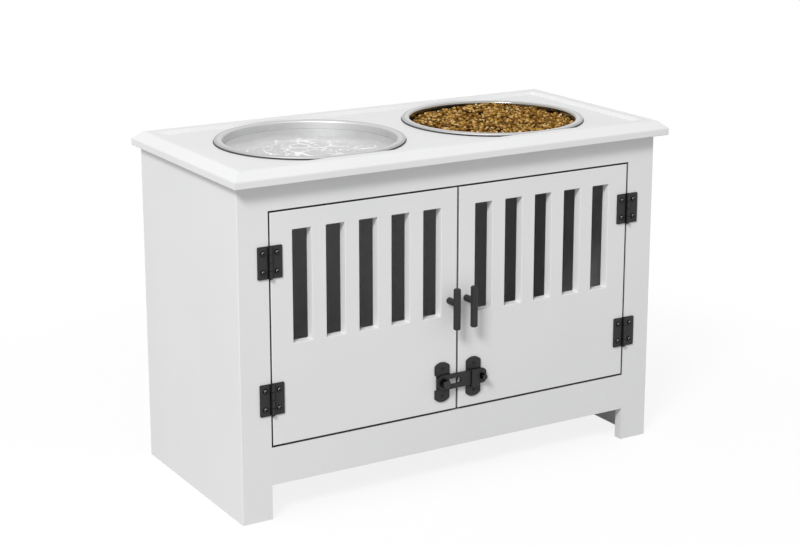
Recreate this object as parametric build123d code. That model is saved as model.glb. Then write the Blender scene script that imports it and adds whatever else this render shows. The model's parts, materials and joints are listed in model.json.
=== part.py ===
# Elevated dog feeder with a storage cabinet: a white painted board cabinet on
# four short feet, a framed top that carries two lift-out steel bowls, and two
# slotted doors on surface hinges, closed by a flip latch.
# Millimetres. X runs along the front, Y from front to back, Z up.
# The origin is under the middle of the whole object, on the floor.
from build123d import *
import math
import os

# ---- bowls: the top is laid out round them ----
bowl_mouth_radius = 105.2
bowl_taper = 5.0
bowl_depth = 70.0
bowl_wall = 0.8
bowl_base_fillet = 28.0
bowl_rim_fillet = 2.2
flange_width = 9.4
bead_radius = 1.6
bowl_seat_gap = 0.1
bowl_hole_clearance = 1.5
bowl_gap = 32.4
bowl_side_margin = 28.6
bowl_front_margin = 2.9

# ---- top ----
top_thickness = 18.0
top_front_overhang = 17.5
top_back_overhang = 5.5
top_side_overhang = 9.5
lip_height = 8.6
bevel_run = 10.8
lip_edge_radius = 3.0
bevel_edge_radius = 7.0
rim_edge_radius = 0.8
moulding_width = 26.0
recess_depth = 4.5
recess_step_run = 1.3

# ---- cabinet ----
cabinet_height = 400.0
board_thickness = 12.0
back_panel_thickness = 5.0
stile_width = 38.5
foot_height = 42.0
bottom_rail_height = 45.5
top_rail_height = 32.5
outer_edge_radius = 1.0
cleat_width = 18.0
shelf_cleat_width = 12.0
cleat_screw_end_distance = 45.0
back_rail_height = 45.0
door_stop_height = 28.0
door_stop_thickness = 6.0
stop_overlap = 8.0

# ---- doors ----
door_side_gap = 2.5
door_centre_gap = 3.0
stop_clearance = 0.3
door_edge_radius = 0.8
slot_count = 5
slot_width = 24.5
slot_height = 133.5
slot_free_edge_margin = 22.5
slot_hinge_edge_margin = 27.8
slot_top_margin = 22.5
slot_corner_radius = 1.0

# ---- hinges ----
hinge_height = 38.0
hinge_leaf_width = 15.5
hinge_leaf_thickness = 1.6
hinge_leaf_corner_radius = 1.2
hinge_barrel_radius = 2.6
hinge_pin_radius = 1.3
hinge_pin_head = 0.9
hinge_web_overlap = 1.0
hinge_knuckles = 4
hinge_groove = 0.5
hinge_web_thickness = 0.5
hinge_spread = 81.0
hinge_screw_spread = 11.0
hinge_screw_inset = 6.6
running_clearance = 0.05
knuckle_clearance = 0.25

# ---- handles ----
handle_length = 50.5
handle_radius = 4.4
handle_end_chamfer = 0.9
handle_projection = 22.0
handle_centre_offset = 12.1
handle_drop = 6.5
post_radius = 4.1
post_rise = 6.5
post_spigot_radius = 2.2
post_spigot_depth = 3.0
post_tapping_depth = 9.0
post_tapping_margin = 1.5
handle_screw_radius = 1.9
handle_screw_head_radius = 4.0
handle_screw_head_height = 2.2

# ---- latch ----
latch_rise = 37.0
latch_plate_centre = 22.3
latch_plate_width = 20.5
latch_plate_height = 50.0
latch_plate_thickness = 2.0
latch_plate_arc_rise = 4.5
latch_plate_corner_radius = 2.0
latch_waist_height = 19.0
latch_waist_depth = 2.5
latch_screw_spread = 17.0
latch_bar_height = 18.4
latch_bar_thickness = 3.0
latch_bar_reach = 16.5
latch_bar_end_radius = 5.0
latch_bar_gap = 0.4
latch_slot_length = 21.5
latch_pin_radius = 3.6
latch_pin_head_radius = 5.3
latch_pin_head_height = 8.0
latch_knob_inset = 6.6
latch_knob_radius = 3.6
latch_knob_height = 8.0
latch_knob_rivet_radius = 2.0
latch_hook_width = 11.0
latch_hook_thickness = 2.0
latch_hook_clearance = 0.5
latch_hook_rise = 1.2

# ---- wood screws ----
screw_head_radius = 3.2
screw_head_height = 1.6
screw_head_rounding = 0.85
screw_radius = 1.4
hinge_screw_length = 9.0
latch_screw_length = 9.0
back_screw_length = 12.0
cleat_screw_bite = 9.0
pilot_clearance = 0.04
screw_hole_clearance = 0.3
flat_head_radius = 2.9
flat_head_depth = 1.5
cross_width = 0.7
cross_length = 3.2
cross_depth = 0.6

# ---- worked-out places ----
bowl_base_radius = bowl_mouth_radius - bowl_taper
flange_radius = bowl_mouth_radius + flange_width
top_width = 2 * (moulding_width + bowl_side_margin) + 4 * flange_radius + bowl_gap
top_depth = 2 * (moulding_width + bowl_front_margin + flange_radius)
cabinet_width = top_width - 2 * top_side_overhang
cabinet_depth = top_depth - top_front_overhang - top_back_overhang
total_depth = handle_projection + top_depth - top_front_overhang
front_y = -total_depth / 2 + handle_projection
back_y = front_y + cabinet_depth
frame_back_y = front_y + board_thickness
back_panel_y = back_y - back_panel_thickness
back_rail_y = back_panel_y - board_thickness
side_x = cabinet_width / 2
inner_x = side_x - board_thickness
opening_x = side_x - stile_width
opening_low = foot_height + bottom_rail_height
opening_high = cabinet_height - top_rail_height
door_low = opening_low + door_side_gap
door_high = opening_high - door_side_gap
door_mid = (door_low + door_high) / 2
door_outer_x = opening_x - door_side_gap
door_inner_x = door_centre_gap / 2
door_thickness = board_thickness - stop_clearance
door_width = door_outer_x - door_inner_x
slot_pitch = (door_width - slot_free_edge_margin - slot_hinge_edge_margin - slot_width) / (slot_count - 1)
shelf_top = door_low + stop_overlap
shelf_low = shelf_top - board_thickness
top_front_y = front_y - top_front_overhang
top_centre_y = top_front_y + top_depth / 2
panel_thickness = top_thickness - recess_depth
panel_surface = cabinet_height + panel_thickness
rim_z = panel_surface + bowl_seat_gap + 2 * bead_radius
bowl_x = flange_radius + bowl_gap / 2
bowl_hole_radius = bowl_mouth_radius + bowl_wall + bowl_hole_clearance
hinge_x = opening_x - door_side_gap / 2
hinge_y = front_y - hinge_barrel_radius
hinge_levels = (door_mid - hinge_spread, door_mid + hinge_spread)
handle_y = front_y - handle_projection + handle_radius
handle_z = door_mid - handle_drop
post_z = handle_z + post_rise
latch_z = door_low + latch_rise
latch_bar_back_y = front_y - latch_plate_thickness - latch_bar_gap
latch_bar_front_y = latch_bar_back_y - latch_bar_thickness
latch_bar_right = latch_plate_centre + latch_bar_reach
latch_knob_x = latch_bar_right - latch_knob_inset
latch_slot_radius = latch_pin_radius + running_clearance

LEFT, RIGHT = -1, 1
PICK = 1.0         # how near a place an edge lies to be picked
PAST = 1.0         # how far a cutter runs past the face that it cuts


# ---- small helpers ----
def block(x, y, z):
    """A box between two values on each axis, given in either order."""
    spans = [sorted(span) for span in (x, y, z)]
    middle = [(low + high) / 2 for low, high in spans]
    size = [high - low for low, high in spans]
    return Pos(*middle) * Box(*size)


def peg(x, y, z, radius, length):
    """A round peg that starts at a point and runs towards the front."""
    peg_up = Cylinder(radius, length, align=(Align.CENTER, Align.CENTER, Align.MIN))
    return Pos(x, y, z) * Rot(90, 0, 0) * peg_up


def post_up(x, y, z, radius, length):
    """A round peg that starts at a point and runs upwards."""
    return Pos(x, y, z) * Cylinder(radius, length, align=(Align.CENTER, Align.CENTER, Align.MIN))


def group(solids):
    """Several separate solids kept as one node."""
    return Compound(children=list(solids))


def edges_along(solid, axis, place):
    """The edges parallel to an axis that lie at a place given by a test."""
    return [edge for edge in solid.edges().filter_by(axis) if place(edge.center())]


# ---- fasteners ----
def cut_cross(head, level):
    """Cut the driver's cross into the top of a screw head."""
    for turn in (0, 90):
        head -= Pos(0, 0, level) * Rot(0, 0, turn) * Box(cross_length, cross_width, 2 * cross_depth)
    return head


def shank(radius, length):
    return Cylinder(radius, length, align=(Align.CENTER, Align.CENTER, Align.MAX))


def screw(length, radius=screw_radius, head_radius=screw_head_radius, head_height=screw_head_height):
    """A dome-head cross screw, head up, seated on its own origin."""
    head = Cylinder(head_radius, head_height, align=(Align.CENTER, Align.CENTER, Align.MIN))
    head = fillet(head.edges().group_by(Axis.Z)[-1], head_height * screw_head_rounding)
    return cut_cross(head, head_height) + shank(radius, length)


def flat_screw(length):
    """A countersunk cross screw, its flat head flush with its own origin."""
    head = Cone(screw_radius, flat_head_radius, flat_head_depth,
                align=(Align.CENTER, Align.CENTER, Align.MAX))
    return cut_cross(head + shank(screw_radius, length), 0)


def countersink():
    """The hole for a flat head: a cone that opens at the origin."""
    return Cone(screw_radius + screw_hole_clearance, flat_head_radius + pilot_clearance, flat_head_depth,
                align=(Align.CENTER, Align.CENTER, Align.MAX))


def facing_front(x, y, z):
    """A place on the front for something modelled head up."""
    return Pos(x, y, z) * Rot(90, 0, 0)


def front_pilots(solid, points, length, seat_y):
    """Drill the pilot holes of front screws out of a board."""
    for x, z in points:
        solid -= peg(x, seat_y + length + pilot_clearance, z, screw_radius + pilot_clearance,
                     length + pilot_clearance)
    return solid


def hinge_screw_points(side, leaf):
    """The two-by-two screw places of one side's frame leaves (1) or door leaves (-1)."""
    x = side * (hinge_x + leaf * (hinge_leaf_width - hinge_screw_inset))
    return [(x, level + rise) for level in hinge_levels for rise in (-hinge_screw_spread, hinge_screw_spread)]


def latch_screw_points(side):
    x = side * latch_plate_centre
    return [(x, latch_z - latch_screw_spread), (x, latch_z + latch_screw_spread)]


def hinge_screws(side, leaf):
    seat = front_y - hinge_leaf_thickness
    return [facing_front(x, seat, z) * screw(hinge_screw_length) for x, z in hinge_screw_points(side, leaf)]


def latch_screws(side):
    seat = front_y - latch_plate_thickness
    return group(facing_front(x, seat, z) * flat_screw(latch_screw_length)
                 for x, z in latch_screw_points(side))


# ---- cabinet boards ----
def side_panel(side):
    panel = block((side * inner_x, side * side_x), (frame_back_y, back_y), (0, cabinet_height))
    rear = edges_along(panel, Axis.Z, lambda c: abs(c.X) > side_x - PICK and c.Y > back_y - PICK)
    return fillet(rear, outer_edge_radius)


def stile(side):
    strip = block((side * opening_x, side * side_x), (front_y, frame_back_y), (0, cabinet_height))
    corner = edges_along(strip, Axis.Z, lambda c: abs(c.X) > side_x - PICK and c.Y < front_y + PICK)
    strip = fillet(corner, outer_edge_radius)
    return front_pilots(strip, hinge_screw_points(side, 1), hinge_screw_length,
                        front_y - hinge_leaf_thickness)


def top_rail():
    return block((-opening_x, opening_x), (front_y, frame_back_y), (opening_high, cabinet_height))


def bottom_rail():
    return block((-opening_x, opening_x), (front_y, frame_back_y), (foot_height, opening_low))


def door_stop():
    low = door_high - stop_overlap
    return block((-opening_x, opening_x), (frame_back_y, frame_back_y + door_stop_thickness),
                 (low, low + door_stop_height))


def cleat_screw_ys():
    return (frame_back_y + cleat_screw_end_distance, back_rail_y - cleat_screw_end_distance)


def shelf_screw_x(side):
    return side * (inner_x - shelf_cleat_width / 2)


def top_screw_x(side):
    """Midway between the cleat's free side and the edge of the top panel above it."""
    return side * (inner_x - cleat_width + top_width / 2 - moulding_width) / 2


def drill_up(solid, points, radius, low, high):
    """Drill upright holes at (x, y) places from one level to another."""
    for x, y in points:
        solid -= post_up(x, y, low, radius, high - low)
    return solid


def cleat_points(x_of_side):
    return [(x_of_side(side), y) for side in (LEFT, RIGHT) for y in cleat_screw_ys()]


def bottom_shelf():
    shelf = block((-inner_x, inner_x), (frame_back_y, back_panel_y), (shelf_low, shelf_top))
    return drill_up(shelf, cleat_points(shelf_screw_x), screw_radius + pilot_clearance,
                    shelf_low, shelf_low + cleat_screw_bite + pilot_clearance)


def shelf_cleat(side):
    cleat = block((side * (inner_x - shelf_cleat_width), side * inner_x), (frame_back_y, back_rail_y),
                  (shelf_low - cleat_width, shelf_low))
    points = [(shelf_screw_x(side), y) for y in cleat_screw_ys()]
    return drill_up(cleat, points, screw_radius + screw_hole_clearance, shelf_low - cleat_width, shelf_low)


def top_cleat(side):
    cleat = block((side * (inner_x - cleat_width), side * inner_x), (frame_back_y, back_rail_y),
                  (cabinet_height - cleat_width, cabinet_height))
    points = [(top_screw_x(side), y) for y in cleat_screw_ys()]
    return drill_up(cleat, points, screw_radius + screw_hole_clearance, cabinet_height - cleat_width,
                    cabinet_height)


def cleat_screws(x_of_side, cleat_low):
    """Screws driven upwards through the cleats into the board above them."""
    driver = Rot(180, 0, 0) * screw(cleat_width + cleat_screw_bite)
    return group(Pos(x, y, cleat_low) * driver for x, y in cleat_points(x_of_side))


def back_screw_points():
    spread = inner_x - 2 * cleat_width
    levels = (foot_height + cleat_width, cabinet_height - cleat_width)
    return [(x, z) for x in (-spread, 0, spread) for z in levels]


def drill_back(solid, radius, depth):
    """Drill holes for the back panel's screws, from its outer face inwards."""
    for x, z in back_screw_points():
        solid -= peg(x, back_y, z, radius, depth)
    return solid


def back_rail(low, high):
    rail = block((-inner_x, inner_x), (back_rail_y, back_panel_y), (low, high))
    return drill_back(rail, screw_radius + pilot_clearance, back_screw_length + pilot_clearance)


def back_panel():
    panel = block((-inner_x, inner_x), (back_panel_y, back_y), (foot_height, cabinet_height))
    return drill_back(panel, screw_radius + screw_hole_clearance, back_panel_thickness)


def back_screws():
    driver = Rot(-90, 0, 0) * screw(back_screw_length)
    return group(Pos(x, back_y, z) * driver for x, z in back_screw_points())


# ---- top ----
def moulding_profile():
    """Section of the edge moulding: outer face at 0, inwards is +X, up is +Y."""
    rim_end = moulding_width - recess_step_run
    outline = FilletPolyline(
        (moulding_width, 0), (0, 0), (0, lip_height), (bevel_run, top_thickness),
        (rim_end, top_thickness), (moulding_width, panel_thickness),
        radius=(outer_edge_radius, lip_edge_radius, bevel_edge_radius, rim_edge_radius))
    closing = Line((moulding_width, panel_thickness), (moulding_width, 0))
    return make_face([outline.edges(), closing.edge()])


def moulding(length):
    """One mitred side of the frame, its outer face on Y = 0 and its bottom on Z = 0."""
    section = Plane(origin=(-length / 2, 0, 0), x_dir=(0, 1, 0), z_dir=(1, 0, 0)) * moulding_profile()
    strip = extrude(section, length)
    half = length / 2
    mitre = Polyline((-half, 0), (half, 0), (half - moulding_width, moulding_width),
                     (moulding_width - half, moulding_width), close=True)
    return strip & extrude(make_face(mitre), top_thickness)


def placed_moulding(length, x, y, turn):
    return Pos(x, y, cabinet_height) * Rot(0, 0, turn) * moulding(length)


def top_panel():
    half_x = top_width / 2 - moulding_width
    half_y = top_depth / 2 - moulding_width
    panel = block((-half_x, half_x), (top_centre_y - half_y, top_centre_y + half_y),
                  (cabinet_height, panel_surface))
    for side in (LEFT, RIGHT):
        panel -= post_up(side * bowl_x, top_centre_y, cabinet_height, bowl_hole_radius, panel_thickness)
    return drill_up(panel, cleat_points(top_screw_x), screw_radius + pilot_clearance,
                    cabinet_height, cabinet_height + cleat_screw_bite + pilot_clearance)


# ---- bowls ----
def bowl_outline(grow):
    """The bowl's inside line, or its outside line when it grows by the wall."""
    lean = math.atan2(bowl_mouth_radius - bowl_base_radius, bowl_depth)
    shift = grow / math.cos(lean)
    base = bowl_base_radius + shift - grow * math.tan(lean)
    mouth = bowl_mouth_radius + shift - grow * math.tan(lean)
    corners = [(0, -bowl_depth - grow), (base, -bowl_depth - grow), (mouth, -grow),
               (flange_radius - bead_radius, -grow)]
    return FilletPolyline(*corners, radius=(bowl_base_fillet + grow, bowl_rim_fillet - grow))


def bowl(side):
    """A pressed steel bowl with a flat flange and a rolled edge."""
    inside, outside = bowl_outline(0), bowl_outline(bowl_wall)
    lip = Line(inside @ 1, outside @ 1)
    middle = Line(outside @ 0, inside @ 0)
    section = make_face([inside.edges(), lip.edge(), outside.edges(), middle.edge()])
    section += Pos(flange_radius - bead_radius, -bead_radius) * Circle(bead_radius)
    shell = revolve(Plane.XZ * section, Axis.Z)
    return Pos(side * bowl_x, top_centre_y, rim_z) * shell


# ---- doors ----
def slot_cutter(side, index):
    near = door_inner_x + slot_free_edge_margin + index * slot_pitch
    high = door_high - slot_top_margin
    cutter = block((side * near, side * (near + slot_width)),
                   (front_y - PAST, front_y + door_thickness + PAST), (high - slot_height, high))
    return fillet(cutter.edges().filter_by(Axis.Y), slot_corner_radius)


def door(side):
    panel = block((side * door_inner_x, side * door_outer_x), (front_y, front_y + door_thickness),
                  (door_low, door_high))
    for index in range(slot_count):
        panel -= slot_cutter(side, index)
    panel = fillet(panel.faces().sort_by(Axis.Y)[0].edges(), door_edge_radius)
    panel = front_pilots(panel, hinge_screw_points(side, -1), hinge_screw_length,
                         front_y - hinge_leaf_thickness)
    panel = front_pilots(panel, latch_screw_points(side), latch_screw_length,
                         front_y - latch_plate_thickness)
    return panel - peg(side * handle_centre_offset, front_y + door_thickness, post_z,
                       handle_screw_radius + screw_hole_clearance, door_thickness)


# ---- hinges ----
def knuckle_spans(level, leaf):
    """Levels of the knuckles that one leaf carries: frame leaves hold the outer ones."""
    pitch = hinge_height / hinge_knuckles
    low = level - hinge_height / 2
    first = 0 if leaf == 1 else 1
    return [(low + n * pitch, low + (n + 1) * pitch) for n in range(first, hinge_knuckles, 2)]


def hinge_leaf(side, level, leaf):
    """One leaf: a flat plate on the face, a groove, and its knuckles round the pin."""
    low, high = level - hinge_height / 2, level + hinge_height / 2
    keep_off = hinge_barrel_radius + hinge_groove
    web_front = front_y - knuckle_clearance - hinge_web_thickness
    far = hinge_x + leaf * hinge_leaf_width
    plate = block((side * (hinge_x + leaf * keep_off), side * far),
                  (front_y - hinge_leaf_thickness, front_y), (low, high))
    corners = edges_along(plate, Axis.Y, lambda c: abs(abs(c.X) - far) < PICK)
    result = fillet(corners, hinge_leaf_corner_radius)
    for start, end in knuckle_spans(level, leaf):
        start += knuckle_clearance if start > low else 0
        end -= knuckle_clearance if end < high else 0
        result += post_up(side * hinge_x, hinge_y, start, hinge_barrel_radius, end - start)
        result += block((side * hinge_x, side * (hinge_x + leaf * (keep_off + hinge_web_overlap))),
                        (web_front, front_y - knuckle_clearance), (start, end))
    result -= post_up(side * hinge_x, hinge_y, low, hinge_pin_radius + running_clearance, hinge_height)
    for x, z in hinge_screw_points(side, leaf):
        result -= peg(x, front_y, z, screw_radius + screw_hole_clearance, hinge_leaf_thickness)
    return result


def hinge_pin(side, level):
    length = hinge_height + 2 * hinge_pin_head
    pin = post_up(side * hinge_x, hinge_y, level - length / 2, hinge_pin_radius, length)
    return chamfer(pin.edges().filter_by(GeomType.CIRCLE), hinge_pin_head / 2)


# ---- handles ----
def handle_bar(side):
    """The upright grip, bored from behind for its post."""
    x = side * handle_centre_offset
    grip = post_up(x, handle_y, handle_z - handle_length / 2, handle_radius, handle_length)
    grip = chamfer(grip.edges().filter_by(GeomType.CIRCLE), handle_end_chamfer)
    return grip - peg(x, handle_y + handle_radius, post_z, post_spigot_radius + pilot_clearance,
                      post_spigot_depth + pilot_clearance)


def handle_post(side):
    """The post from the door to the grip: saddled to the grip, with a spigot, tapped for the screw."""
    x = side * handle_centre_offset
    post = peg(x, front_y, post_z, post_radius, handle_projection - handle_radius)
    post -= post_up(x, handle_y, handle_z - handle_length / 2, handle_radius, handle_length)
    post += peg(x, front_y, post_z, post_spigot_radius,
                handle_projection - 2 * handle_radius + post_spigot_depth)
    return post - peg(x, front_y, post_z, handle_screw_radius + pilot_clearance,
                      post_tapping_depth + post_tapping_margin)


def handle_screw(side):
    """A machine screw through the door from inside, into the post."""
    bolt = screw(door_thickness + post_tapping_depth, handle_screw_radius,
                 handle_screw_head_radius, handle_screw_head_height)
    seat = front_y + door_thickness
    return Pos(side * handle_centre_offset, seat, post_z) * Rot(-90, 0, 0) * bolt


# ---- latch ----
def latch_plate_blank(side):
    """The upright mounting plate, with arched ends, that both halves of the latch share."""
    x, half = side * latch_plate_centre, latch_plate_width / 2
    across, depth = (x - half, x + half), (front_y - latch_plate_thickness, front_y)
    end = latch_plate_height / 2
    shoulder = end - latch_plate_arc_rise
    arc_radius = (half ** 2 + latch_plate_arc_rise ** 2) / (2 * latch_plate_arc_rise)
    plate = block(across, depth, (latch_z - shoulder, latch_z + shoulder))
    for way in (-1, 1):
        disc = peg(x, front_y, latch_z + way * (end - arc_radius), arc_radius, latch_plate_thickness)
        plate += disc & block(across, depth, (latch_z + way * shoulder, latch_z + way * end))
    corners = edges_along(plate, Axis.Y, lambda c: abs(abs(c.Z - latch_z) - shoulder) < PICK)
    plate = fillet(corners, latch_plate_corner_radius)
    for px, pz in latch_screw_points(side):
        plate -= peg(px, front_y, pz, screw_radius + screw_hole_clearance, latch_plate_thickness)
        plate -= facing_front(px, front_y - latch_plate_thickness, pz) * countersink()
    return plate


def latch_plate():
    """The pivot plate on the left door, with a waist on its outer edge."""
    plate = latch_plate_blank(LEFT)
    edge = -latch_plate_centre - latch_plate_width / 2
    waist = block((edge - PAST, edge + latch_waist_depth), (front_y - latch_plate_thickness, front_y),
                  (latch_z - latch_waist_height / 2, latch_z + latch_waist_height / 2))
    plate -= waist
    return plate - peg(-latch_plate_centre, front_y, latch_z, latch_pin_radius + pilot_clearance,
                       latch_plate_thickness)


def latch_pivot_pin():
    """The pin fixed in the pivot plate, with the tall round head that keeps the bar on."""
    length = front_y - latch_bar_front_y + latch_bar_gap
    pin = peg(-latch_plate_centre, front_y, latch_z, latch_pin_radius, length)
    head = peg(-latch_plate_centre, latch_bar_front_y - latch_bar_gap, latch_z, latch_pin_head_radius,
               latch_pin_head_height)
    head = fillet(head.edges().filter_by(GeomType.CIRCLE).sort_by(Axis.Y)[0], outer_edge_radius)
    return pin + head


def latch_bar():
    """The flat bar: round at the pivot, slotted, with softened corners at the free end."""
    centre = -latch_plate_centre
    low, high = latch_z - latch_bar_height / 2, latch_z + latch_bar_height / 2
    depth = (latch_bar_front_y, latch_bar_back_y)
    bar = block((centre, latch_bar_right), depth, (low, high))
    free_corners = edges_along(bar, Axis.Y, lambda c: c.X > latch_bar_right - PICK)
    bar = fillet(free_corners, latch_bar_end_radius)
    bar += peg(centre, latch_bar_back_y, latch_z, latch_bar_height / 2, latch_bar_thickness)
    slot_end = centre + latch_slot_length
    for x in (centre, slot_end):
        bar -= peg(x, latch_bar_back_y, latch_z, latch_slot_radius, latch_bar_thickness)
    bar -= block((centre, slot_end), depth, (latch_z - latch_slot_radius, latch_z + latch_slot_radius))
    return bar - peg(latch_knob_x, latch_bar_back_y, latch_z, latch_knob_rivet_radius + pilot_clearance,
                     latch_bar_thickness)


def latch_knob():
    """The finger knob riveted through the bar's free end."""
    stem = peg(latch_knob_x, latch_bar_back_y, latch_z, latch_knob_rivet_radius, latch_bar_thickness)
    knob = peg(latch_knob_x, latch_bar_front_y, latch_z, latch_knob_radius, latch_knob_height)
    knob = fillet(knob.edges().filter_by(GeomType.CIRCLE).sort_by(Axis.Y)[0], outer_edge_radius)
    return stem + knob


def latch_keeper():
    """The plate on the right door with an open-topped hook for the bar."""
    half = latch_hook_width / 2
    span = (latch_plate_centre - half, latch_plate_centre + half)
    seat = latch_z - latch_bar_height / 2 - latch_hook_clearance
    tip = latch_z + latch_bar_height / 2 + latch_hook_rise
    inner_y = latch_bar_front_y - latch_hook_clearance
    outer_y = inner_y - latch_hook_thickness
    low = seat - latch_hook_thickness
    web = block(span, (outer_y, front_y - latch_plate_thickness), (low, seat))
    strap = block(span, (outer_y, inner_y), (low, tip))
    hook = web + strap
    tops = edges_along(hook, Axis.Y, lambda c: c.Z > tip - PICK)
    hook = fillet(tops, latch_hook_thickness)
    return latch_plate_blank(RIGHT) + hook


# ---- the nodes ----
def cabinet_nodes():
    lower_rail = back_rail(foot_height, shelf_low)
    upper_rail = back_rail(cabinet_height - back_rail_height, cabinet_height)
    nodes = {
        "top_rail": top_rail(), "bottom_rail": bottom_rail(), "door_stop": door_stop(),
        "bottom_shelf": bottom_shelf(), "back_panel": back_panel(),
        "lower_back_rail": lower_rail, "upper_back_rail": upper_rail,
        "back_panel_screws": back_screws(),
        "shelf_screws": cleat_screws(shelf_screw_x, shelf_low - cleat_width),
        "top_panel_screws": cleat_screws(top_screw_x, cabinet_height - cleat_width),
        "top_panel": top_panel(),
        "front_moulding": placed_moulding(top_width, 0, top_front_y, 0),
        "back_moulding": placed_moulding(top_width, 0, top_front_y + top_depth, 180),
        "left_moulding": placed_moulding(top_depth, -top_width / 2, top_centre_y, -90),
        "right_moulding": placed_moulding(top_depth, top_width / 2, top_centre_y, 90),
        "frame_hinge_screws": group(hinge_screws(LEFT, 1) + hinge_screws(RIGHT, 1)),
    }
    return nodes


def side_nodes(name, side):
    nodes = {
        f"{name}_side_panel": side_panel(side), f"{name}_stile": stile(side),
        f"{name}_shelf_cleat": shelf_cleat(side), f"{name}_top_cleat": top_cleat(side),
        f"{name}_bowl": bowl(side), f"{name}_door": door(side),
        f"{name}_door_hinge_screws": group(hinge_screws(side, -1)),
        f"{name}_handle_bar": handle_bar(side), f"{name}_handle_post": handle_post(side),
        f"{name}_handle_screw": handle_screw(side),
    }
    for height, level in zip(("lower", "upper"), hinge_levels):
        nodes[f"{name}_{height}_hinge_frame_leaf"] = hinge_leaf(side, level, 1)
        nodes[f"{name}_{height}_hinge_door_leaf"] = hinge_leaf(side, level, -1)
        nodes[f"{name}_{height}_hinge_pin"] = hinge_pin(side, level)
    return nodes


def latch_nodes():
    return {
        "latch_plate": latch_plate(), "latch_plate_screws": latch_screws(LEFT),
        "latch_pivot_pin": latch_pivot_pin(), "latch_bar": latch_bar(), "latch_knob": latch_knob(),
        "latch_keeper": latch_keeper(), "latch_keeper_screws": latch_screws(RIGHT),
    }


os.makedirs("parts", exist_ok=True)
model = {**cabinet_nodes(), **side_nodes("left", LEFT), **side_nodes("right", RIGHT), **latch_nodes()}
for node, shape in model.items():
    export_step(shape, f"parts/{node}.step")
print(len(model), "nodes")
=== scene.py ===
# %% [markdown]
# # A raised dog feeder with a storage cabinet
#
# The real object is a white painted cabinet on four short feet, with two
# lift-out steel bowls in its framed top, one with water and one with kibble,
# and two slotted doors on black hinges. Everything that has a real shape was
# built as solids and arrives here as the frame. This lesson adds what a solid
# can't hold: the finish of each surface, the water, the kibble and the light.

# %% Load the frame
import json
import math
import random

import bmesh
import bpy
from mathutils import Matrix, Vector, noise


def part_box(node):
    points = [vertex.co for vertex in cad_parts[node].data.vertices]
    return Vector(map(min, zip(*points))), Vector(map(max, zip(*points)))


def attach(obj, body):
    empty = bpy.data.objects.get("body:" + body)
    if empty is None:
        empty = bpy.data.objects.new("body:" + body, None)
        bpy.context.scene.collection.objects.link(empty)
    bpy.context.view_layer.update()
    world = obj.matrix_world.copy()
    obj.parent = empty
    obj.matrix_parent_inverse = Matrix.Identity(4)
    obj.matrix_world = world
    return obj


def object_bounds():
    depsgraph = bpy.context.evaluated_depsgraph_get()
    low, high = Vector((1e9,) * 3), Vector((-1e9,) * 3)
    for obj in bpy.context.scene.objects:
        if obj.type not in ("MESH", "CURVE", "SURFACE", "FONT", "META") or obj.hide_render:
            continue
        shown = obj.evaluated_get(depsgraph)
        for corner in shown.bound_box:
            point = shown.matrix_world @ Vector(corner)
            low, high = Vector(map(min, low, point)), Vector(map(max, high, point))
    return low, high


MM = 0.001
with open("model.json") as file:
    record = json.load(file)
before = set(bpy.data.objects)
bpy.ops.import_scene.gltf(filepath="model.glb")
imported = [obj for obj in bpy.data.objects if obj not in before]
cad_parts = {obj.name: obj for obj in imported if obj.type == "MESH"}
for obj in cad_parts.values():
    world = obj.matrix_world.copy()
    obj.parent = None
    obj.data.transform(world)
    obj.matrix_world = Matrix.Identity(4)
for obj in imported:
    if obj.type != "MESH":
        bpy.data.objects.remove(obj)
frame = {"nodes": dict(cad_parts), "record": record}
solids_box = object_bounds()
scene = bpy.context.scene

# %% [markdown]
# ## The camera
#
# A product picture like this is taken from a little above the top, from the
# left, with a long lens, so that upright edges stay nearly upright. A camera
# that is aimed down makes uprights lean together. A small downward shift of
# the lens lets the camera look more level and still keeps the feet in view.

# %% Place the camera
camera_place = Vector((-1136.87, -1890.71, 850.59)) * MM
camera_azimuth = math.radians(-30.87)
camera_elevation = math.radians(13.75)
sensor_width_mm = 36.0
lens_mm = 82.18
lens_shift_down = 0.08


def make_camera():
    camera = bpy.data.objects.new("camera", bpy.data.cameras.new("camera"))
    scene.collection.objects.link(camera)
    camera.data.sensor_width = sensor_width_mm
    camera.data.lens = lens_mm
    camera.data.shift_y = -lens_shift_down
    ahead = Vector((-math.sin(camera_azimuth) * math.cos(camera_elevation),
                    math.cos(camera_azimuth) * math.cos(camera_elevation),
                    -math.sin(camera_elevation)))
    camera.rotation_mode = "QUATERNION"
    camera.rotation_quaternion = ahead.to_track_quat("-Z", "Y")
    camera.location = camera_place
    scene.camera = camera
    return camera


scene.view_settings.view_transform = "Standard"
camera = make_camera()
print("camera:", round(camera.location.length, 3), "m from the origin")

# %% [markdown]
# ## Shader maths as Python
#
# Materials here are node trees. Wiring them by hand is long, so two small
# classes do it. `Wire` is one output socket, and sums written with it add
# Math nodes. `Tree` adds any other node with one method: the kind of node,
# its settings, and the values or wires of its sockets.

# %% One wire
class Wire:
    """One output socket, with arithmetic that adds Math nodes."""

    def __init__(self, tree, socket):
        self.tree, self.socket = tree, socket

    def maths(self, operation, *values):
        return self.tree.node("ShaderNodeMath", {"operation": operation}, dict(enumerate(values)))

    def __add__(self, other):
        return self.maths("ADD", self, other)

    __radd__ = __add__

    def __sub__(self, other):
        return self.maths("SUBTRACT", self, other)

    def __rsub__(self, other):
        return self.maths("SUBTRACT", other, self)

    def __mul__(self, other):
        return self.maths("MULTIPLY", self, other)

    __rmul__ = __mul__

    def __pow__(self, other):
        return self.maths("POWER", self, other)

    def __gt__(self, other):
        return self.maths("GREATER_THAN", self, other)

    def __lt__(self, other):
        return self.maths("LESS_THAN", self, other)

    def __abs__(self):
        return self.maths("ABSOLUTE", self)

    def __or__(self, other):
        """The larger of two, which joins two masks."""
        return self.maths("MAXIMUM", self, other)


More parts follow.
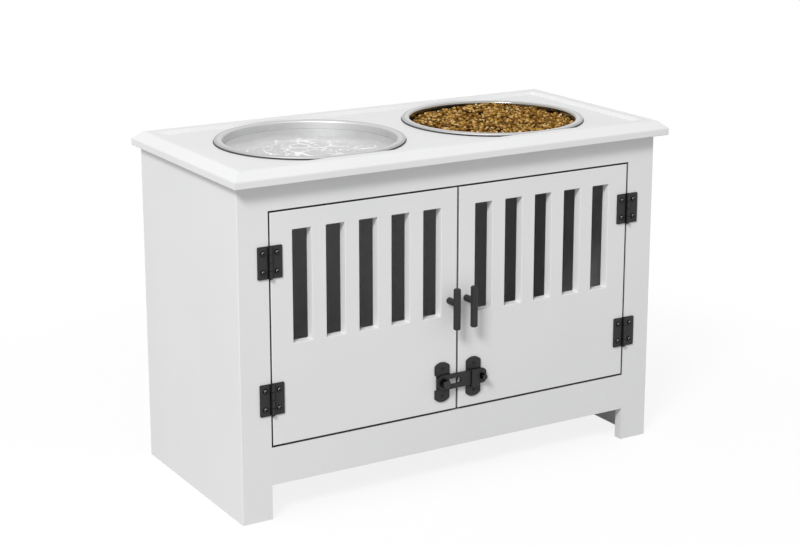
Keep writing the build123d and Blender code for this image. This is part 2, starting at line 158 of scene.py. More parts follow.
# %% One tree
class Tree:
    """A node tree in the making."""

    def __init__(self, owner):
        owner.use_nodes = True
        self.owner = owner
        self.nodes, self.links = owner.node_tree.nodes, owner.node_tree.links
        self.nodes.clear()

    def node(self, kind, settings=(), sockets=(), output=0):
        made = self.nodes.new(kind)
        for key, value in dict(settings).items():
            if key == "stops":
                self.set_stops(made.color_ramp, value)
            else:
                setattr(made, key, value)
        for key, value in dict(sockets).items():
            socket = self.pick(made.inputs, key)
            if isinstance(value, Wire):
                self.links.new(value.socket, socket)
            else:
                socket.default_value = value
        return Wire(self, self.pick(made.outputs, output))

    @staticmethod
    def pick(sockets, key):
        """A socket by its place, or the live one of that name."""
        if isinstance(key, int):
            return sockets[key]
        return next(s for s in sockets if s.name == key and s.enabled)

    @staticmethod
    def set_stops(ramp, stops):
        for place, colour in stops[2:]:
            ramp.elements.new(place)
        for element, (place, colour) in zip(ramp.elements, stops):
            element.position, element.color = place, (*colour, 1.0)

    # The few nodes that every finish needs, under short names.
    def place(self):
        return self.node("ShaderNodeTexCoord", output="Object")

    def axes(self, where):
        """The X, Y and Z of a vector, as three wires."""
        return [self.node("ShaderNodeSeparateXYZ", (), {0: where}, axis) for axis in "XYZ"]

    def noise(self, where, scale, detail=2.0):
        return self.node("ShaderNodeTexNoise", (),
                         {"Vector": where, "Scale": scale, "Detail": detail})

    def mix(self, factor, first, second):
        """Mix two colours, each a wire or three numbers."""
        ends = [(*end, 1.0) if isinstance(end, tuple) else end for end in (first, second)]
        return self.node("ShaderNodeMix", {"data_type": "RGBA"},
                         {"Factor": factor, "A": ends[0], "B": ends[1]}, "Result")

    def spread(self, value, low, high, to_low=0.0, to_high=1.0):
        """Map a range of values smoothly to another."""
        return self.node("ShaderNodeMapRange", {"interpolation_type": "SMOOTHSTEP"},
                         {"Value": value, "From Min": low, "From Max": high,
                          "To Min": to_low, "To Max": to_high})

    def bump(self, height, distance, strength):
        return self.node("ShaderNodeBump", (),
                         {"Height": height, "Distance": distance, "Strength": strength})

    def surface(self, shader):
        output = self.nodes.new("ShaderNodeOutputMaterial")
        self.links.new(shader.socket, output.inputs["Surface"])
        return self.owner


def new_finish(name):
    return Tree(bpy.data.materials.new(name))


print("helpers:", len(vars(Wire)) + len(vars(Tree)), "names")

# %% [markdown]
# ## The studio
#
# The picture is a plain catalogue picture: white all round, with light that
# is mostly soft. The floor and the world are white for the camera and for
# reflections only. For the light that reaches the object the world is a
# plain grey level and the floor gives back part of what falls on it, so
# that the underside of each edge stays darker than its top. Close to the
# object the floor lets a share of the real shadow through.

# %% World and floor
white = (1.0, 1.0, 1.0)
ambient_level = 0.575
floor_size = 16.0
floor_drop = 0.1 * MM
floor_seen, floor_bounce = 0.98, 0.50
shadow_share = 0.15
shadow_near, shadow_far = 0.40, 0.95


def seen_directly(tree):
    """1 for rays from the camera, a mirror or glass, else 0."""
    camera_ray, glossy_ray, glass_ray = (
        tree.node("ShaderNodeLightPath", output=name)
        for name in ("Is Camera Ray", "Is Glossy Ray", "Is Transmission Ray"))
    return camera_ray | glossy_ray | glass_ray


def make_world():
    world = bpy.data.worlds.new("studio")
    scene.world = world
    tree = Tree(world)
    level = ambient_level + seen_directly(tree) * (1.0 - ambient_level)
    background = tree.node("ShaderNodeBackground", (), {"Color": (*white, 1.0), "Strength": level})
    out = tree.nodes.new("ShaderNodeOutputWorld")
    tree.links.new(background.socket, out.inputs["Surface"])


# %% The floor
def make_floor():
    mesh = bpy.data.meshes.new("floor")
    half = floor_size / 2
    corners = [(x * half, y * half, -floor_drop) for x, y in ((-1, -1), (1, -1), (1, 1), (-1, 1))]
    mesh.from_pydata(corners, [], [(0, 1, 2, 3)])
    floor = bpy.data.objects.new("floor", mesh)
    scene.collection.objects.link(floor)
    tree = new_finish("pale_floor")
    away = tree.node("ShaderNodeVectorMath", {"operation": "LENGTH"}, {0: tree.place()}, "Value")
    near = tree.spread(away, shadow_near, shadow_far, shadow_share, 0.0)
    seen = seen_directly(tree)
    matt = tree.node("ShaderNodeBsdfDiffuse", (), {
        "Color": tree.mix(seen, (floor_bounce,) * 3, (floor_seen,) * 3)})
    glow = tree.node("ShaderNodeEmission", (), {"Color": (*white, 1.0), "Strength": 1.0})
    mixed = tree.node("ShaderNodeMixShader", (), {0: seen * (1.0 - near), 1: matt, 2: glow})
    mesh.materials.append(tree.surface(mixed))


make_world()
make_floor()
print("studio: world and floor, ambient", ambient_level)

# %% [markdown]
# ## The lamp
#
# One softbox to the upper left and in front is enough beside the white room.
# It makes the left side lighter than the front and the top lightest, and
# draws a soft shadow of each handle down to the right. Its power is worked
# out from the light wanted on a white surface that faces it, so that it can
# be moved without changing the level. It stands well back, so that the right
# end of the front is hardly darker than the left end.

# %% Softbox
lamp_azimuth, lamp_elevation = math.radians(-50), math.radians(38.5)
lamp_distance, lamp_size = 6.5, 1.54
lamp_level = 0.645


def softbox():
    """A square area light that faces the middle of the object."""
    lamp = bpy.data.objects.new("softbox", bpy.data.lights.new("softbox", "AREA"))
    scene.collection.objects.link(lamp)
    lamp.data.shape, lamp.data.size = "SQUARE", lamp_size
    lamp.data.energy = lamp_level * math.pi ** 2 * lamp_distance ** 2
    back = Vector((math.sin(lamp_azimuth) * math.cos(lamp_elevation),
                   -math.cos(lamp_azimuth) * math.cos(lamp_elevation), math.sin(lamp_elevation)))
    lamp.location = (solids_box[0] + solids_box[1]) / 2 + back * lamp_distance
    lamp.rotation_mode = "QUATERNION"
    lamp.rotation_quaternion = (-back).to_track_quat("-Z", "Y")
    return lamp


lamp = softbox()
print("lamp:", round(lamp.data.energy, 1), "W")

# %% [markdown]
# ## White lacquer
#
# The cabinet is fibreboard with a sprayed satin lacquer that runs over every
# joint, so no grain and no seam shows. What does show, close up, is a faint
# orange peel, a slightly uneven gloss, and very slow changes of tone. The
# inside has only a matt grey primer, so the same finish turns grey where a
# board faces the storage space; that place is found from the boards.

# %% Where the storage space is
skin = 0.2 * MM
room_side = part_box("right_side_panel")[0].x + skin
room_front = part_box("right_side_panel")[0].y - skin
room_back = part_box("back_panel")[0].y + skin
room_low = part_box("bottom_shelf")[1].z - skin
room_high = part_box("top_rail")[1].z + skin
print("storage space: half width", round(room_side, 4), "depth", round(room_back - room_front, 4),
      "height", round(room_high - room_low, 4))


def inside_mask(tree, where):
    """1 on faces that bound the storage space, 0 elsewhere."""
    x, y, z = tree.axes(where)
    return ((abs(x) < room_side) * (y > room_front) * (y < room_back)
            * (z > room_low) * (z < room_high))


# %% [markdown]
# The edges that face each other across the gaps round the doors are painted
# dark grey, a painted shade, so the gaps read as dark lines; between the two
# doors that painted shade is lighter. The doors' own boxes say where that is:
# behind the face, and not on the door proper.
# The edges of the slots are painted whiter than the faces, a painted light.
# Behind the knuckles of the hinges, and in a thin line round each bowl, the
# paint is darkened, a painted shade.

# %% Where the gaps round the doors are
gap_depth, gap_reach, gap_width = 1.2 * MM, 0.5 * MM, 3.0 * MM
knuckle_reach, bowl_line = 3.4 * MM, 1.1 * MM
hinge_line = sum(corner.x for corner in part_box("right_upper_hinge_pin")) / 2
door_low_corner, door_high_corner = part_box("right_door")
print("door:", [round(v, 4) for v in door_high_corner - door_low_corner])


def door_masks(tree, where):
    """The edges that face a gap round the doors, and the edges of the slots."""
    x, y, z = tree.axes(where)
    low, high = door_low_corner, door_high_corner
    on_door = ((abs(x) > low.x + gap_reach) * (abs(x) < high.x - gap_reach)
               * (z > low.z + gap_reach) * (z < high.z - gap_reach))
    near = (abs(x) < high.x + gap_width) * (z > low.z - gap_width) * (z < high.z + gap_width)
    behind = y > low.y + gap_depth
    gap = near * (1.0 - on_door) * behind * (y < room_front + gap_width)
    return gap, on_door * behind * (y < high.y - skin)


def off_hinge_line(tree, where):
    """Distance to the side of the line through the hinge pins."""
    return abs(abs(tree.axes(where)[0]) - hinge_line)


def painted_shade_mask(tree, where):
    """1 where shade is painted: behind the hinge knuckles and in a thin line round each bowl."""
    x, y, z = tree.axes(where)
    mask = 0.0
    near_face = y < door_low_corner.y + gap_depth
    on_hinge_line = (off_hinge_line(tree, where) < knuckle_reach) * near_face
    for level in ("lower", "upper"):
        low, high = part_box(f"right_{level}_hinge_frame_leaf")
        mask = mask + (z > low.z) * (z < high.z) * on_hinge_line
    for bowl in ("left_bowl", "right_bowl"):
        low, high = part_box(bowl)
        middle, outer = (low + high) / 2, (high.x - low.x) / 2
        side, depth = x - middle.x, y - middle.y
        away = (side * side + depth * depth) ** 0.5
        mask = mask + (away > outer - bowl_line) * (away < outer + bowl_line) * (z > room_high)
    return mask


# %% The lacquers
lacquer_white, lacquer_shade = (0.80, 0.80, 0.80), (0.775, 0.777, 0.78)
# Painted colours on these two lines: painted light for the slot edges, and painted shade for the
# marks round knuckles and bowls and for the door gaps.
slot_painted_light, painted_shade_grey = (0.90, 0.90, 0.90), (0.10, 0.10, 0.10)
gap_painted_shade, middle_painted_shade = (0.15, 0.15, 0.152), (0.42, 0.42, 0.422)
primer_grey, primer_dust = (0.55, 0.55, 0.553), (0.61, 0.61, 0.61)
middle_reach = 6.0 * MM
cloud_scale, mottle_scale, peel_scale = 5.0, 60.0, 650.0
satin, satin_change, primer_matt = 0.36, 0.1, 0.2
peel_height = 0.02 * MM


def lacquer(name, light, dark, with_room):
    tree = new_finish(name)
    where = tree.place()
    mottle = tree.noise(where, mottle_scale, 4.0)
    colour = tree.mix(tree.spread(tree.noise(where, cloud_scale, 3.0), 0.3, 0.7), light, dark)
    roughness = satin + satin_change * mottle
    if with_room:
        inside = inside_mask(tree, where)
        colour = tree.mix(inside, colour, tree.mix(mottle, primer_grey, primer_dust))
        # Painted shade on the edges in the door gaps, lighter between the doors, and painted light
        # on the slot edges.
        gap, slot = door_masks(tree, where)
        between_doors = abs(tree.axes(where)[0]) < middle_reach
        gap_shade_tone = tree.mix(between_doors, gap_painted_shade, middle_painted_shade)
        colour = tree.mix(gap, tree.mix(slot, colour, slot_painted_light), gap_shade_tone)
        # Painted shade behind the hinge knuckles and in a thin line round each bowl.
        colour = tree.mix(painted_shade_mask(tree, where), colour, painted_shade_grey)
        roughness = roughness + inside * primer_matt
    peel = tree.noise(where, peel_scale, 1.0)
    shader = tree.node("ShaderNodeBsdfPrincipled", (), {
        "Base Color": colour, "Roughness": roughness,
        "Normal": tree.bump(peel, peel_height, 0.6), "IOR": 1.5, "Specular IOR Level": 0.18})
    return tree.surface(shader)


white_lacquer = lacquer("white_lacquer", lacquer_white, lacquer_shade, with_room=True)
inner_primer = lacquer("inner_primer", primer_grey, primer_dust, with_room=False)
print("lacquers:", white_lacquer.name, inner_primer.name)

# %% [markdown]
# ## Black powder coat
#
# Hinges, handles and latch are steel with a satin black powder coat. The
# powder melts into a fine grain that scatters the light. Each plate has a
# thin darker outline painted along its sharp edges, a painted shade.
# The edges are found by comparing the true normal with one that is rounded
# over a fraction of a millimetre. Corners, such as the ring round a screw
# head, and a strip on each side of the hinge knuckles get the darkest
# painted shade of all; how closed in a point is tells where the corners are.

# %% The powder coat
coat_black, coat_dust = (0.023, 0.023, 0.0233), (0.032, 0.032, 0.0323)
coat_painted_shade = (0.003, 0.003, 0.003)
edge_width, corner_reach, knuckle_flank = 0.6 * MM, 3.0 * MM, 1.5 * MM
edge_start, edge_full = 0.98, 0.8
corner_start, corner_full = 0.86, 0.56
grain_scale, grain_height, patch_scale = 1400.0, 0.03 * MM, 90.0
coat_rough, coat_change = 0.44, 0.14


def powder_coat():
    tree = new_finish("powder_coat")
    where = tree.place()
    patches = tree.noise(where, patch_scale, 3.0)
    rounded = tree.node("ShaderNodeBevel", {"samples": 4}, {"Radius": edge_width})
    true_normal = tree.node("ShaderNodeNewGeometry", output="Normal")
    likeness = tree.node("ShaderNodeVectorMath", {"operation": "DOT_PRODUCT"},
                         {0: rounded, 1: true_normal}, "Value")
    edge = tree.spread(likeness, edge_start, edge_full)
    off = off_hinge_line(tree, where)
    flank = (off > knuckle_flank) * (off < knuckle_reach)
    open_air = tree.node("ShaderNodeAmbientOcclusion", {"samples": 8},
                         {"Distance": corner_reach}, "AO")
    corner = tree.spread(open_air, corner_start, corner_full)
    # Painted shade: edges, the strips beside the knuckles and closed-in corners take the
    # near-black tone.
    colour = tree.mix(edge | flank | corner, tree.mix(patches, coat_black, coat_dust), coat_painted_shade)
    grain = tree.bump(tree.noise(where, grain_scale, 2.0), grain_height, 0.5)
    shader = tree.node("ShaderNodeBsdfPrincipled", (), {
        "Base Color": colour, "Roughness": coat_rough + coat_change * patches, "Normal": grain,
        "IOR": 1.5, "Specular IOR Level": 0.25})
    return tree.surface(shader)


powder_black = powder_coat()
print("coat:", len(powder_black.node_tree.nodes), "shader nodes")

# %% [markdown]
# ## Black oxide
#
# The screws that show, the hinge pins and the latch knob are turned steel,
# blackened and oiled instead of coated. Their sides are darker and glossier
# than the plates. Faces that point to the front are painted lighter, a
# painted light and shade chosen by the direction of the surface, and each
# screw gets a small painted highlight near the middle of its round head.

# %% The black oxide
oxide_black = (0.001, 0.001, 0.001)
knob_painted_light, screw_painted_light = (0.040, 0.040, 0.0405), (0.022, 0.022, 0.0225)
front_start, front_full, front_dull = 0.80, 0.92, 0.25
highlight_grey = (0.62, 0.62, 0.62)
highlight_turn = Vector((-0.10, -0.98, 0.16)).normalized()
highlight_start, highlight_full = 0.984, 0.994


def black_oxide(name, lit_tone, highlight):
    """Turned and blackened steel; the last argument is how strongly the small painted highlight
    shows.
    """
    tree = new_finish(name)
    marks = tree.noise(tree.place(), 1100.0, 3.0)
    turn = tree.node("ShaderNodeTexCoord", output="Normal")
    # Painted light and shade: faces that point to the front take the lighter tone, the sides stay
    # near black.
    front_facing = tree.spread(0.0 - tree.axes(turn)[1], front_start, front_full)
    # A painted highlight: a small bright spot near the middle of each screw head.
    near_spot = tree.node("ShaderNodeVectorMath", {"operation": "DOT_PRODUCT"},
                          {0: turn, 1: highlight_turn}, "Value")
    spot = tree.spread(near_spot, highlight_start, highlight_full, 0.0, highlight)
    shader = tree.node("ShaderNodeBsdfPrincipled", (), {
        "Base Color": tree.mix(spot, tree.mix(front_facing, oxide_black, lit_tone), highlight_grey),
        "Roughness": 0.12 + 0.06 * marks + front_facing * front_dull,
        "Normal": tree.bump(marks, 0.005 * MM, 0.2), "IOR": 1.5, "Specular IOR Level": 0.22})
    return tree.surface(shader)


turned_oxide = black_oxide("turned_oxide", knob_painted_light, highlight=0.0)
screw_oxide = black_oxide("screw_oxide", screw_painted_light, highlight=1.0)
print("oxide:", len(screw_oxide.node_tree.nodes), "shader nodes")

# %% [markdown]
# ## Zinc screws
#
# The screws on the back and inside the doors are bright zinc: a bluish grey
# metal with small cloudy crystals and a soft gloss.

# %% The zinc
zinc_bright, zinc_dull = (0.62, 0.63, 0.66), (0.42, 0.43, 0.45)


def zinc_plate():
    tree = new_finish("zinc_plate")
    crystals = tree.noise(tree.place(), 900.0, 3.0)
    shader = tree.node("ShaderNodeBsdfPrincipled", (), {
        "Base Color": tree.mix(crystals, zinc_bright, zinc_dull), "Metallic": 1.0,
        "Roughness": 0.28 + 0.2 * crystals, "Normal": tree.bump(crystals, 0.02 * MM, 0.4)})
    return tree.surface(shader)


screw_zinc = zinc_plate()
print("zinc:", len(screw_zinc.node_tree.nodes), "shader nodes")

# %% [markdown]
# ## Stainless steel
#
# Each bowl is spun and polished on a lathe, which leaves very fine rings
# round its middle. Rings need the distance from the bowl's own middle, so
# each bowl gets its own finish, and the rings stay when the bowl is lifted.
# Inside, the water bowl is brushed, so it mirrors only softly, and has a
# thin darker line where the water ends; the food bowl is polished and a
# little darker with fat. The rolled rim is dull, and the lower outer side
# of its curl is painted darker, a painted shade.

# %% The steel
steel_tone, steel_dark = (0.52, 0.52, 0.52), (0.48, 0.48, 0.483)
clean_inside, greasy_inside = (0.62, 0.62, 0.622), (0.40, 0.385, 0.35)
curl_painted_shade, waterline_grey = (0.22, 0.22, 0.223), (0.30, 0.30, 0.30)
brushed, mirror, bead_dull = 0.35, 0.0, 0.4
water_drop, waterline_below, waterline_above = 10.0 * MM, 1.2 * MM, 0.3 * MM
curl_width, curl_height = 1.3 * MM, 1.7 * MM
bead_width, flange_width = 3.4 * MM, 7.9 * MM
ring_scale, smudge_scale = 1500.0, 25.0


def polished_steel(name, node, inside_tone, inside_dull):
    """Spun steel for one bowl; inside_dull is 0 for a mirror, more for brushed steel."""
    tree = new_finish(name)
    where = tree.place()
    low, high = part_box(node)
    outer = (high.x - low.x) / 2
    away = tree.node("ShaderNodeVectorMath", {"operation": "SUBTRACT"},
                     {0: where, 1: (low + high) / 2})
    x, y, _ = tree.axes(away)
    height = tree.axes(where)[2]
    radius = (x * x + y * y) ** 0.5
    rings = tree.node("ShaderNodeTexNoise", {"noise_dimensions": "1D"},
                      {"W": radius, "Scale": ring_scale, "Detail": 3.0})
    smudges = tree.noise(where, smudge_scale, 3.0)
    curl = (radius > outer - curl_width) * (height < high.z - curl_height)
    turn_x, turn_y, turn_z = tree.axes(tree.node("ShaderNodeTexCoord", output="Normal"))
    faces_in = (x * turn_x + y * turn_y < 0.0) | (turn_z > 0.3)
    inside = (radius < outer - flange_width) * faces_in
    tone = tree.mix(inside, tree.mix(smudges, steel_tone, steel_dark), inside_tone)
    water_line = high.z - water_drop
    scale = (height > water_line - waterline_below) * (height < water_line + waterline_above)
    # A thin darker line where the water ends, on the brushed bowl only.
    tone = tree.mix(scale * inside * (2.0 * inside_dull), tone, waterline_grey)
    dull = inside_dull * inside + bead_dull * (radius > outer - bead_width)
    shader = tree.node("ShaderNodeBsdfPrincipled", (), {
        # Painted shade: the lower outer side of the rolled rim is darker.
        "Base Color": tree.mix(curl, tone, curl_painted_shade), "Metallic": 1.0,
        "Roughness": 0.1 + 0.1 * rings + 0.06 * smudges + dull,
        "Normal": tree.bump(rings, 0.01 * MM, 0.25)})
    return tree.surface(shader)


water_steel = polished_steel("water_bowl_steel", "left_bowl", clean_inside, brushed)
food_steel = polished_steel("food_bowl_steel", "right_bowl", greasy_inside, mirror)
print("steel:", len(water_steel.node_tree.nodes), "shader nodes for each bowl")

# %% [markdown]
# ## Dress the solids
#
# The record names a material slot for every node, so each node takes the
# finish of its slot. The bowls, the turned pieces of the black hardware and
# the hinge screws then take finishes of their own.

# %% Give each node its finish
finish_of_slot = {"white_paint": white_lacquer, "inner_boards": inner_primer,
                  "black_hardware": powder_black, "screw_zinc": screw_zinc}


def dress(node, finish):
    mesh = frame["nodes"][node].data
    mesh.materials.clear()
    mesh.materials.append(finish)


for part in frame["record"]["subparts"]:
    if part["material_slot"] in finish_of_slot:
        dress(part["node"], finish_of_slot[part["material_slot"]])
for node in frame["nodes"]:
    if node.endswith("hinge_screws"):
        dress(node, screw_oxide)
    elif node.endswith(("hinge_pin", "pivot_pin", "knob")):
        dress(node, turned_oxide)
dress("left_bowl", water_steel)
dress("right_bowl", food_steel)

# %% [markdown]
# ## Water
#
# The left bowl holds water that has just been poured, with ripples still
# crossing it. Water is a body, not a sheet: light bends at its top, meets
# the steel and comes out again. The body's underside is sunk into the middle
# of the bowl's wall, so that light meets steel before it meets that side.
# The crests come from the edges of a cell pattern, which join and branch as
# crossing ripples do. Slow noise lets them die out here and there, and a
# finer swell lies between them. Vector noise bends the cells. It starts from
# the clock unless it is given a seed, so a seed is set, and the ripples are
# the same in every run.

# %% The bowl's inside, from its solid
bowl_wall = 0.8 * MM
bowl_depth = 70.0 * MM
mouth_radius, base_radius = 105.2 * MM, 100.2 * MM
base_fillet = 28.0 * MM


def rim_of(node):
    """The middle of a bowl's mouth, at rim height."""
    low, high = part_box(node)
    return Vector(((low.x + high.x) / 2, (low.y + high.y) / 2, high.z))


def inside_radius(drop):
    """Radius of the bowl's inside at a depth under the rim."""
    return mouth_radius - (mouth_radius - base_radius) * drop / bowl_depth


# %% Ripples
crest_height = 1.3 * MM
swell_height = 0.55 * MM
ripple_seed = 3
noise.seed_set(ripple_seed)
broad_cell, fine_cell = 27.0 * MM, 13.0 * MM
broad_warp, fine_warp = 10.0 * MM, 3.0 * MM
busy_middle = Vector((-0.012, -0.026, 0.0))
busy_reach = 92.0 * MM
calm_edge, edge_share = 6.0 * MM, 0.15


def cell_edge(point, size, seed):
    """How near a point is to the edge between two cells: 1 on it, 0 well away."""
    found = noise.voronoi(Vector((point.x / size, point.y / size, seed)))[0]
    return max(0.0, 1.0 - (found[1] - found[0]) * 4.0)


def ripple(point):
    """Height of the water at a place in the bowl, and how sharp its crest is."""
    warp = noise.noise_vector(point * 18.0 + Vector((3.1, 1.7, 0.4))) * broad_warp
    warp += noise.noise_vector(point * 70.0) * fine_warp
    gate = min(1.0, max(0.0, 0.45 + 1.6 * noise.noise(point * 38.0 + Vector((0.3, 5.1, 2.2)))))
    busy = max(0.0, 1.0 - ((point - busy_middle).length / busy_reach) ** 2)
    crest = cell_edge(point + warp, broad_cell, 0.37) ** 3 * busy * gate
    fine = cell_edge(point + warp * 0.7, fine_cell, 1.9) ** 4 * busy ** 2 * (1.0 - gate)
    swell = noise.noise(point * 22.0) + 0.5 * noise.noise(point * 47.0)
    height = crest * crest_height + fine * 0.5 * crest_height + swell * swell_height
    return height, crest + 0.6 * fine


# %% From rings to a piece
def lathe(bm, centre, rings, segments):
    """Rings of vertices from (radius, height) pairs, joined by faces."""
    turns = [2 * math.pi * k / segments for k in range(segments)]
    made = [[bm.verts.new(centre + Vector((radius * math.cos(a), radius * math.sin(a), height)))
             for a in turns] for radius, height in rings]
    stitch(bm, made)
    return made


def stitch(bm, rings):
    for inner, outer in zip(rings, rings[1:]):
        count = len(inner)
        for k in range(count):
            bm.faces.new((inner[k], outer[k], outer[(k + 1) % count], inner[(k + 1) % count]))


def close_ends(bm, rings, top, low):
    """Close a turned body with a fan at each end; returns the top vertex."""
    centre_top, centre_low = bm.verts.new(top), bm.verts.new(low)
    count = len(rings[0])
    for k in range(count):
        bm.faces.new((centre_top, rings[0][k], rings[0][(k + 1) % count]))
        bm.faces.new((centre_low, rings[-1][(k + 1) % count], rings[-1][k]))
    return centre_top


def finish_mesh(bm, name, body, finish):
    """Turn a bmesh into a piece that rides on a body."""
    bmesh.ops.recalc_face_normals(bm, faces=bm.faces)
    mesh = bpy.data.meshes.new(name)
    bm.to_mesh(mesh)
    bm.free()
    mesh.materials.append(finish)
    mesh.shade_smooth()
    piece = bpy.data.objects.new(name, mesh)
    scene.collection.objects.link(piece)
    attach(piece, body)
    return piece


# %% The water's body
water_segments, surface_rings, wall_rings = 192, 90, 10


def wall_section():
    """(radius, height) pairs up the bowl's rounded foot, in the middle of its wall."""
    lean = math.atan2(mouth_radius - base_radius, bowl_depth)
    sweep = math.pi / 2 - lean
    flat = base_radius + bowl_wall / 2 - base_fillet * math.tan(sweep / 2)
    low = -bowl_depth - bowl_wall / 2
    angles = [sweep * k / wall_rings for k in range(wall_rings + 1)]
    return [(flat / 2, low)] + [(flat + base_fillet * math.sin(a),
                                 low + base_fillet * (1 - math.cos(a))) for a in angles]


def water_body():
    rim = rim_of("left_bowl")
    edge = inside_radius(water_drop) + bowl_wall / 2
    bm = bmesh.new()
    crest_of = bm.verts.layers.float.new("crest")
    top = [(edge * (k + 1) / surface_rings, -water_drop) for k in range(surface_rings)]
    wall = wall_section()
    made = lathe(bm, rim, top + wall[::-1], water_segments)
    centre_top = close_ends(bm, made, rim - Vector((0, 0, water_drop)),
                            rim + Vector((0, 0, wall[0][1])))
    for vert in [centre_top] + [v for ring in made[:surface_rings] for v in ring]:
        place = vert.co - rim
        place.z = 0.0
        height, vert[crest_of] = ripple(place)
        vert.co.z += height * max(edge_share, min(1.0, (edge - place.length) / calm_edge))
    return bm


# %% The water's finish
crest_start, crest_full = 0.08, 0.34
calm_share = 0.38


def water_finish():
    """Clear water with a painted highlight: a pale surface mixed in on the crests, and at a
    smaller share everywhere.
    """
    tree = new_finish("fresh_water")
    where = tree.place()
    small = tree.noise(where, 120.0, 2.0)
    clear = tree.node("ShaderNodeBsdfPrincipled", (), {
        "Base Color": (0.985, 0.995, 1.0, 1.0), "Transmission Weight": 1.0, "IOR": 1.333,
        "Roughness": 0.0, "Normal": tree.bump(small, 0.15 * MM, 0.5)})
    # Painted highlight: this pale surface stands in for light reflected from the crests.
    painted_glint = tree.node("ShaderNodeBsdfPrincipled", (), {
        "Base Color": (0.96, 0.965, 0.97, 1.0), "Roughness": 0.3, "IOR": 1.333})
    crest = tree.node("ShaderNodeAttribute", {"attribute_name": "crest"}, output="Fac")
    share = tree.spread(crest, crest_start, crest_full, calm_share, 1.0)
    return tree.surface(tree.node("ShaderNodeMixShader", (), {0: share, 1: clear, 2: painted_glint}))


water = finish_mesh(water_body(), "water", "left_bowl", water_finish())
print("water:", len(water.data.polygons), "faces")

# %% [markdown]
# ## Kibble
#
# The right bowl is heaped with dry food: small flat biscuits with rounded
# edges, each turned its own way. A texture would look printed, so each one
# is a small turned shape. They lie on a bed that fills the bowl under them,
# coloured near black as painted shade for the gaps between them; each
# biscuit is painted darker the deeper it lies, also a painted shade.
# A fixed seed gives the same heap each time.

# %% The heap
kibble_seed = 7
pellet_radius, pellet_half = 2.7 * MM, 1.4 * MM
pellet_rings, pellet_pole = ((0.72, -0.9), (1.0, 0.0), (0.72, 0.9)), 0.85
pellet_segments = 7
pellet_pitch, pellet_jitter, pellet_tilt = 4.2 * MM, 1.4 * MM, 0.6
layer_chances, layer_height = (1.0, 0.62), 2.2 * MM
heap_peak, heap_fall, heap_lumps = -2.0 * MM, 6.5 * MM, 1.6 * MM
shade_depth = 4.0 * MM
view_across = Vector((math.cos(camera_azimuth), math.sin(camera_azimuth), 0.0))


def heap_height(place):
    """Height of the heap against the rim: full in the middle, lower towards two sides."""
    share = place.length / mouth_radius
    side = abs(place.dot(view_across)) / mouth_radius
    lumps = noise.noise(place * 30.0) * heap_lumps
    return heap_peak - heap_fall * (0.2 * share ** 3 + 0.8 * side ** 2) + lumps


# %% One biscuit
def add_pellet(bm, centre, turn, size):
    """One biscuit; returns its vertices."""
    turns = [2 * math.pi * k / pellet_segments for k in range(pellet_segments)]
    rings = [[bm.verts.new(centre + turn @ Vector((
        radius * size.x * math.cos(a), radius * size.y * math.sin(a), height * size.z)))
        for a in turns] for radius, height in pellet_rings]
    stitch(bm, rings)
    poles = []
    for ring, height in ((rings[0], -pellet_pole), (rings[-1], pellet_pole)):
        pole = bm.verts.new(centre + turn @ Vector((0, 0, height * size.z)))
        for k in range(pellet_segments):
            bm.faces.new((pole, ring[k], ring[(k + 1) % pellet_segments]))
        poles.append(pole)
    return [vert for ring in rings for vert in ring] + poles


# %% Where the biscuits lie
def pellet_places(pitch, jitter, reach, chance):
    """A jittered triangular grid of places inside a circle."""
    rows = int(reach / pitch) + 1
    for row in range(-rows, rows + 1):
        for column in range(-rows, rows + 1):
            offset = 0.5 * (row % 2)
            place = Vector(((column + offset) * pitch, row * pitch * math.sqrt(0.75), 0.0))
            place += Vector((random.uniform(-1, 1), random.uniform(-1, 1), 0.0)) * jitter
            if place.length < reach and random.random() < chance:
                yield place


# %% The biscuits
def kibble_heap():
    """All biscuits as one mesh, each vertex with its depth under the heap's surface."""
    random.seed(kibble_seed)
    rim = rim_of("right_bowl")
    bm = bmesh.new()
    depth_of = bm.verts.layers.float.new("depth")
    reach = inside_radius(10.0 * MM) - pellet_radius
    for layer, chance in enumerate(layer_chances):
        for place in pellet_places(pellet_pitch, pellet_jitter, reach, chance):
            top = heap_height(place)
            lift = layer * layer_height + random.uniform(-0.8, 0.8) * MM
            centre = rim + place + Vector((0, 0, top - pellet_half + lift - 1.8 * MM))
            tilt = Matrix.Rotation(random.gauss(0.0, pellet_tilt), 3, "X")
            tilt = tilt @ Matrix.Rotation(random.gauss(0.0, pellet_tilt), 3, "Y")
            spin = Matrix.Rotation(random.uniform(0, 2 * math.pi), 3, "Z")
            size = Vector((pellet_radius * random.uniform(0.85, 1.15),
                           pellet_radius * random.uniform(0.75, 1.0),
                           pellet_half * random.uniform(0.8, 1.2)))
            for vert in add_pellet(bm, centre, tilt @ spin, size):
                sunk = (top + rim.z + 0.6 * MM - vert.co.z) / shade_depth
                vert[depth_of] = min(1.0, max(0.0, sunk))
    return bm


# %% The bed
bed_segments, bed_rings = 96, 24
bed_depth, bed_under, bed_gap = 45.0 * MM, 5.0 * MM, 0.4 * MM


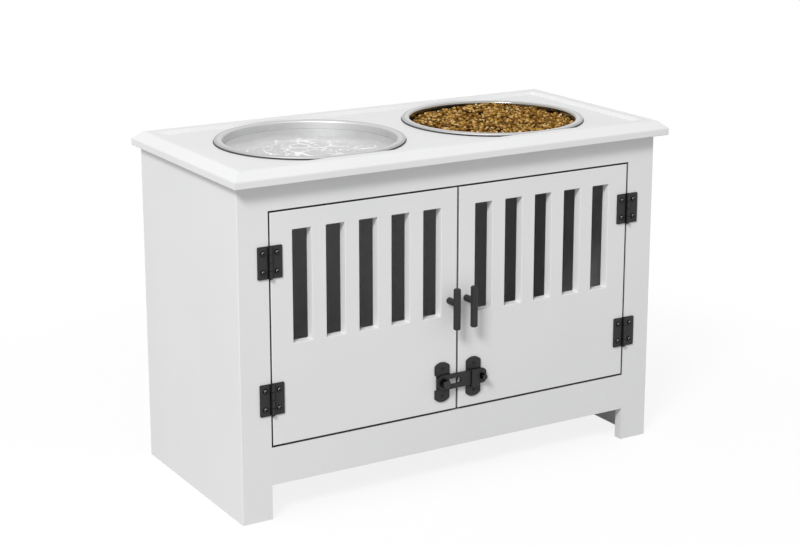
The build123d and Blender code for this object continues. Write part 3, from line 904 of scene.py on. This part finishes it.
def kibble_bed():
    """A near-black body under the biscuits that show; its colour is painted shade for the gaps
    between them.
    """
    rim = rim_of("right_bowl")
    bm = bmesh.new()
    edge = inside_radius(14.0 * MM) - bed_gap
    rings = [(edge * (k + 1) / bed_rings, 0.0) for k in range(bed_rings)]
    rings += [(inside_radius(bed_depth) - bed_gap, -bed_depth)]
    made = lathe(bm, rim, rings, bed_segments)
    centre_top = close_ends(bm, made, rim, rim - Vector((0, 0, bed_depth)))
    for vert in [centre_top] + [v for ring in made[:bed_rings] for v in ring]:
        vert.co.z += heap_height(vert.co - rim) - bed_under
    return bm


# %% The kibble's finish
tone_places = (0.0, 0.45, 0.77, 0.98)
biscuit_tones = ((0.06, 0.024, 0.003), (0.25, 0.117, 0.018),
                 (0.55, 0.32, 0.080), (0.86, 0.68, 0.40))
bed_shade_tones = ((0.03, 0.014, 0.004), (0.035, 0.017, 0.005),
               (0.04, 0.02, 0.006), (0.06, 0.03, 0.01))
crevice_shade_brown = (0.009, 0.0045, 0.001)
gap_start, gap_full = 0.05, 0.62


def kibble_finish(name, tones):
    """Baked food: each biscuit has its own tone, and painted shade darkens each one towards the
    gaps.
    """
    tree = new_finish(name)
    where = tree.place()
    own = tree.node("ShaderNodeNewGeometry", output="Random Per Island")
    crumbs = tree.noise(where, 900.0, 4.0)
    deep = tree.node("ShaderNodeAttribute", {"attribute_name": "depth"}, output="Fac")
    baked = tree.node("ShaderNodeValToRGB", {"stops": tuple(zip(tone_places, tones))},
                      {"Fac": own * 0.75 + crumbs * 0.45 - 0.1})
    shader = tree.node("ShaderNodeBsdfPrincipled", (), {
        # Painted shade: the deeper a point lies in the heap, the darker it is.
        "Base Color": tree.mix(tree.spread(deep, gap_start, gap_full), baked, crevice_shade_brown),
        "Roughness": 0.6 + 0.2 * crumbs, "Normal": tree.bump(crumbs, 0.3 * MM, 0.6),
        "Specular IOR Level": 0.06})
    return tree.surface(shader)


# %% Fill the bowl
kibble = finish_mesh(kibble_heap(), "kibble", "right_bowl",
                     kibble_finish("kibble_biscuit", biscuit_tones))
bed = finish_mesh(kibble_bed(), "kibble_bed", "right_bowl",
                  kibble_finish("kibble_bed_shade", bed_shade_tones))
print("kibble:", len(kibble.data.polygons), "faces")

# %% [markdown]
# ## Sizes
#
# The box round the solids is taken once, when they are loaded; the softbox
# aims at its middle. Nothing that was added may make the object larger than
# its solids.
